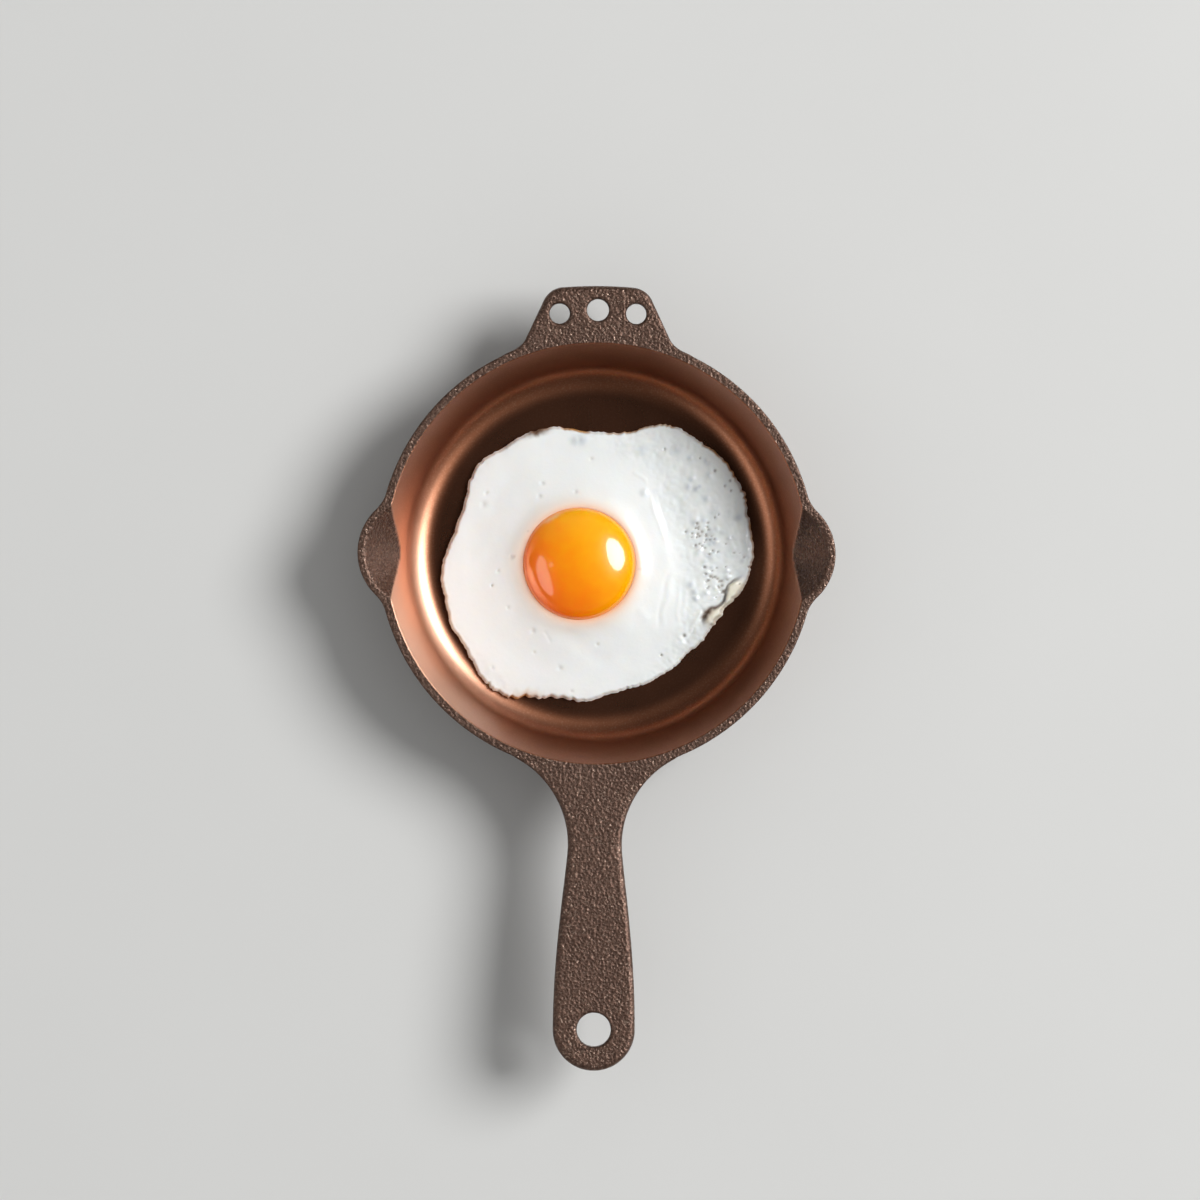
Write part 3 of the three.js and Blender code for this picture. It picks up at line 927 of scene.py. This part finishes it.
# %% Mix the white finish
def white_finish():
    white = Finish(
        "set_egg_white", Metallic=0.0, Subsurface_Weight=0.4, Subsurface_Radius=(1.0, 0.85, 0.7),
        Subsurface_Scale=2.0 * MM, Coat_Roughness=0.1, IOR=1.4,
    )
    thin = white.painted("thin")
    patch = white.painted("patch")
    crisp = white.painted("crisp")
    scorch = white.painted("scorch")
    painted_yolk_glow = white.painted("painted_yolk_glow")
    cream = white.painted("cream")
    soft = white.noise(60.0, detail=3.0)
    fine = white.noise(700.0, detail=4.0, roughness=0.6)
    base = white.mix(soft, colour(243, 248, 246), colour(247, 252, 250))
    base = white.mix(thin, base, colour(186, 192, 197))
    base = white.mix(patch * (0.35 + fine * 0.5), base, colour(168, 178, 192))
    base = white.mix(cream * 0.8, base, colour(250, 242, 220))
    # Painted glow: the yolk's orange light, painted into the white near it.
    base = white.mix(painted_yolk_glow * 0.8, base, colour(255, 184, 128))
    base = white.mix(crisp * (0.55 + fine * 0.8), base, colour(188, 136, 74))
    base = white.mix(scorch * (0.65 + fine * 0.5), base, colour(108, 76, 50))
    relief = fine * 0.6 + soft * 0.4
    return white.finished(
        Base_Color=base,
        Roughness=0.38 + fine * 0.15 + crisp * 0.2,
        Coat_Weight=0.35 + thin * 0.25,
        Normal=white.bump(relief, 0.08 * MM),
    )


make_piece(
    "egg_white_pool", white_skin, white_faces, "egg_white", white_finish(), white_paints(),
)

# %% [markdown]
# ## The yolk
#
# A whole yolk is a soft bag: it sags into a low dome that steepens at its rim. It is turned like
# a bowl from one profile, with a little unevenness so that it isn't a machine's dome. A faint
# glow of its own stands in for the light that wells up inside a real yolk.

# %% Yolk dome
YOLK_RIM = 8.2
YOLK_BELLY = 2.7


def yolk_points():
    degrees = np.arange(0.0, 360.0, 1.8)
    rings = []
    for rise in np.radians(np.concatenate([np.linspace(88, 20, 56), np.linspace(18, -88, 22)])):
        r = YOLK_RADIUS * math.cos(rise) * (1.0 + 0.004 * np.sin(np.radians(3 * degrees + 40)))
        semi = YOLK_TOP - YOLK_RIM if rise > 0 else YOLK_BELLY
        x = YOLK_X + r * np.cos(np.radians(degrees))
        y = YOLK_Y + r * np.sin(np.radians(degrees))
        z = YOLK_RIM + semi * math.sin(rise) + 0.06 * Drift(71, 9.0)(x, y) * math.cos(rise)
        rings.append(np.column_stack([x, y, z]))
    return rings


yolk_skin, yolk_faces = join_rings(yolk_points())

# %% Paint the yolk
YOLK_LINE = 18.6
YOLK_FILM = 18.5


def yolk_paints():
    """A stretched line inside the rim on the left, and a scrap of white film near the top."""
    x, y = yolk_skin[:, 0] - YOLK_X, yolk_skin[:, 1] - YOLK_Y
    r = np.hypot(x, y)
    degrees = np.degrees(np.arctan2(y, x))
    line = np.exp(-(((r - YOLK_LINE) / 0.35) ** 2)) * bump_at(degrees, 205, 55)
    wrinkle = 0.6 + 0.4 * Drift(72, 0.9)(x, y)
    film = np.exp(-(((r - YOLK_FILM) / 0.8) ** 2)) * bump_at(degrees, 121, 9) * wrinkle
    return {"line": line, "film": film}


# %% Mix the yolk finish
def yolk_finish():
    yolk = Finish(
        "soft_yolk", Metallic=0.0, Subsurface_Weight=0.6, Subsurface_Radius=(1.0, 0.3, 0.05),
        Subsurface_Scale=5.0 * MM, Coat_Roughness=0.03, Coat_IOR=1.5, Coat_Weight=1.0, IOR=1.4,
        Emission_Color=colour(255, 96, 0), Emission_Strength=0.14,
    )
    middle = (YOLK_X * MM, YOLK_Y * MM, YOLK_RIM * MM)
    radius = YOLK_RADIUS * MM
    offset = yolk.vector_math("SUBTRACT", yolk.place(), middle)
    out = yolk.from_axis(offset) / radius
    away = (-0.25 / radius, 0.95 / radius, 0.0)
    rightward = (0.8 / radius, 0.6 / radius, 0.0)
    top = yolk.vector_math("DOT_PRODUCT", offset, away, output="Value")
    side = yolk.vector_math("DOT_PRODUCT", offset, rightward, output="Value")
    cloud = yolk.noise(140.0, detail=4.0, roughness=0.55)
    milky = yolk.noise(60.0, detail=5.0, roughness=0.65).between(0.5, 0.75)
    # Yellower towards the upper right, where the key light falls, and deeper orange at the lower left:
    # painted light and shade, mixed with a random mottle.
    lit_side_and_mottle = (side * 0.55 + 0.55 + (cloud - 0.5) * 0.35).between(0.0, 1.0)
    base = yolk.mix(lit_side_and_mottle, colour(255, 122, 0), colour(255, 186, 0))
    base = yolk.mix((0.3 + milky * 0.7) * top.between(0.25, 0.95) * 0.5, base, colour(255, 196, 84))
    base = yolk.mix(out.between(0.92, 0.98) * 0.8, base, colour(255, 166, 96))
    base = yolk.mix(yolk.painted("line") * 0.7, base, colour(222, 92, 8))
    base = yolk.mix(yolk.painted("film") * 0.8, base, colour(255, 226, 190))
    return yolk.finished(Base_Color=base, Roughness=0.22 + cloud * 0.05)


make_piece(
    "egg_yolk_dome", yolk_skin, yolk_faces, "egg_yolk", yolk_finish(), yolk_paints(),
)

# %% [markdown]
# ## Floor, lights and camera
#
# The egg is seen from straight above, so a long lens keeps the wall of the pan even all round. One
# large soft light stands to the right, half way up the sky. A studio can split such a
# light: a lamp that casts the shadows, and a rounded card in front of it that only shows in shiny
# things. A thin card on the left answers it in the yolk. The sky lights the floor evenly, but
# mirrors see it darker, which is why the turned floor looks nearly black. A darker copper painted
# on the floor adds painted shade to this.

# %% Floor
def pale_floor():
    stone = Finish("pale_floor", Roughness=0.75)
    cloud = stone.noise(9.0, detail=4.0)
    return stone.finished(Base_Color=stone.mix(cloud, colour(214, 214, 212), colour(218, 218, 216)))


FLOOR_SIDE = 6.0
floor_mesh = bpy.data.meshes.new("floor")
half = FLOOR_SIDE / 2
floor_corners = [(-half, -half, 0), (half, -half, 0), (half, half, 0), (-half, half, 0)]
floor_mesh.from_pydata(floor_corners, [], [(0, 1, 2, 3)])
floor_mesh.materials.append(pale_floor())
floor = bpy.data.objects.new("floor", floor_mesh)
bpy.context.scene.collection.objects.link(floor)


# %% Lights
def softbox(name, azimuth, elevation, across, tall, radiance, roll=0.0):
    """A far area light that faces the pan; azimuth 0 is +X, and all sizes are in degrees."""
    a, e = math.radians(azimuth), math.radians(elevation)
    towards = Vector((math.cos(e) * math.cos(a), math.cos(e) * math.sin(a), math.sin(e)))
    data = bpy.data.lights.new(name, "AREA")
    data.shape = "ELLIPSE"
    data.size = 2 * LIGHT_DISTANCE * math.tan(math.radians(across / 2))
    data.size_y = 2 * LIGHT_DISTANCE * math.tan(math.radians(tall / 2))
    data.energy = radiance * math.pi * data.size * data.size_y * math.pi / 4
    light = bpy.data.objects.new(name, data)
    light.location = towards * LIGHT_DISTANCE
    facing = towards.to_track_quat("Z", "Y") @ Quaternion((0.0, 0.0, 1.0), math.radians(roll))
    light.rotation_euler = facing.to_euler()
    light.visible_camera = False
    bpy.context.scene.collection.objects.link(light)
    print(f"{name}: {data.size:.2f} x {data.size_y:.2f} m at {LIGHT_DISTANCE} m")
    return light


LIGHT_DISTANCE = 4.5
key = softbox("key", 19, 45, 30, 28, 14.0)
key.visible_glossy = False
CARDS = [  # name, azimuth, elevation, width, height, radiance, roll
    ("key_card", 15, 43, 38, 33, 14.5, 6),
    ("left_card", 200, 43, 46, 24, 2.2, -8),
    ("small_card", 183, 60, 6, 6, 1.6, 0),
]
for card in CARDS:
    softbox(*card).visible_diffuse = False


# %% Sky
def studio_sky():
    """Even light for whatever is dull; shiny things see it dark, and a little brighter low down."""
    sky = Sky("studio")
    direction = sky.node("ShaderNodeTexCoord", output="Generated")
    height = sky.node("ShaderNodeSeparateXYZ", {}, {0: direction}, output="Z")
    shiny = sky.node("ShaderNodeLightPath", output="Is Glossy Ray")
    seen_by_mirrors = 0.03 + (1 - height) * 0.12
    strength = shiny * seen_by_mirrors + (1 - shiny) * 0.34
    sky.finished(Color=(1.0, 1.0, 1.0, 1.0), Strength=strength)


studio_sky()

# %% Camera
LENS = 300.0
SENSOR = 36.0
FRAME_WIDTH = 415.2 * MM
VIEW_CENTRE = (1.3 * MM, -16.1 * MM)
TURN = math.radians(0.34)

camera_data = bpy.data.cameras.new("camera")
camera_data.lens = LENS
camera_data.sensor_width = SENSOR
camera = bpy.data.objects.new("camera", camera_data)
camera.location = (*VIEW_CENTRE, RIM_HEIGHT * MM + FRAME_WIDTH * LENS / SENSOR)
camera.rotation_euler = (0.0, 0.0, TURN)
camera_data.clip_end = 20.0
bpy.context.scene.collection.objects.link(camera)
bpy.context.scene.camera = camera
bpy.context.scene.view_settings.view_transform = "Standard"
